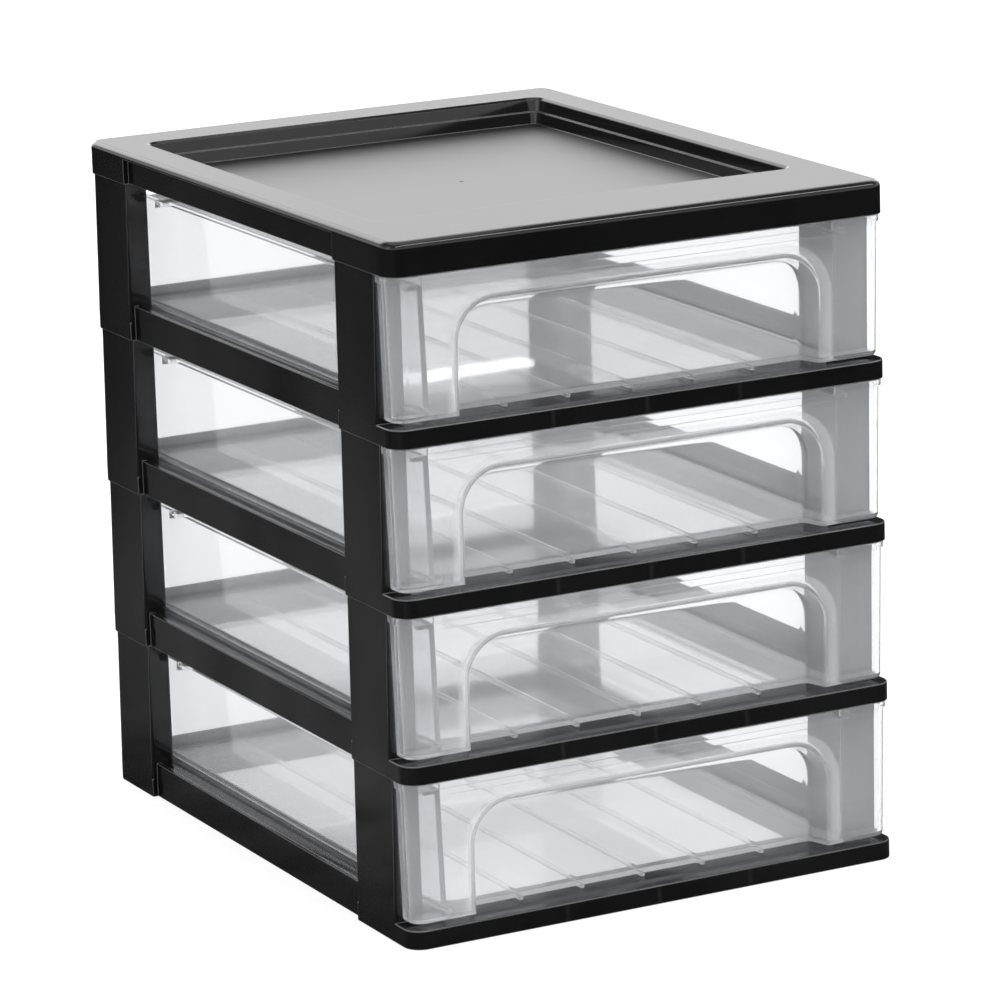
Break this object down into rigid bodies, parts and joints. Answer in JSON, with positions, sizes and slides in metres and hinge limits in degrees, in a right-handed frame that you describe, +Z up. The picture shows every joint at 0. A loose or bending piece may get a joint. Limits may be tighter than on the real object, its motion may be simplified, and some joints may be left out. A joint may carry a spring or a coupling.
{
  "type": "letter tray stack with drawers",
  "caption": "Desk tower of open black frames that plug into each other under a sunk-top cover, each holding a frosted clear drawer with an arched finger recess.",
  "frame": {"origin": "middle of the footprint, on the surface the stack stands on", "axes": "+Z up, -Y the front that the drawers pull out of, +X to the right seen from the front"},
  "size_m": [0.26, 0.335, 0.33],
  "materials": {
    "black_plastic": "glossy injection-moulded polystyrene",
    "clear_plastic": "frosted translucent injection-moulded polypropylene"
  },
  "bodies": {
    "cabinet": {"top_cover": "black_plastic", "tier_frame_1": "black_plastic", "tier_frame_2": "black_plastic", "tier_frame_3": "black_plastic", "tier_frame_4": "black_plastic"},
    "drawer_1_body": {"drawer_1": "clear_plastic"},
    "drawer_2_body": {"drawer_2": "clear_plastic"},
    "drawer_3_body": {"drawer_3": "clear_plastic"},
    "drawer_4_body": {"drawer_4": "clear_plastic"}
  },
  "joints": [
    {"name": "drawer_1_slide", "type": "slide", "parent": "cabinet", "child": "drawer_1_body", "axis": [0, -1, 0], "range_m": [0, 0.213]},
    {"name": "drawer_2_slide", "type": "slide", "parent": "cabinet", "child": "drawer_2_body", "axis": [0, -1, 0], "range_m": [0, 0.213]},
    {"name": "drawer_3_slide", "type": "slide", "parent": "cabinet", "child": "drawer_3_body", "axis": [0, -1, 0], "range_m": [0, 0.213]},
    {"name": "drawer_4_slide", "type": "slide", "parent": "cabinet", "child": "drawer_4_body", "axis": [0, -1, 0], "range_m": [0, 0.213]}
  ]
}
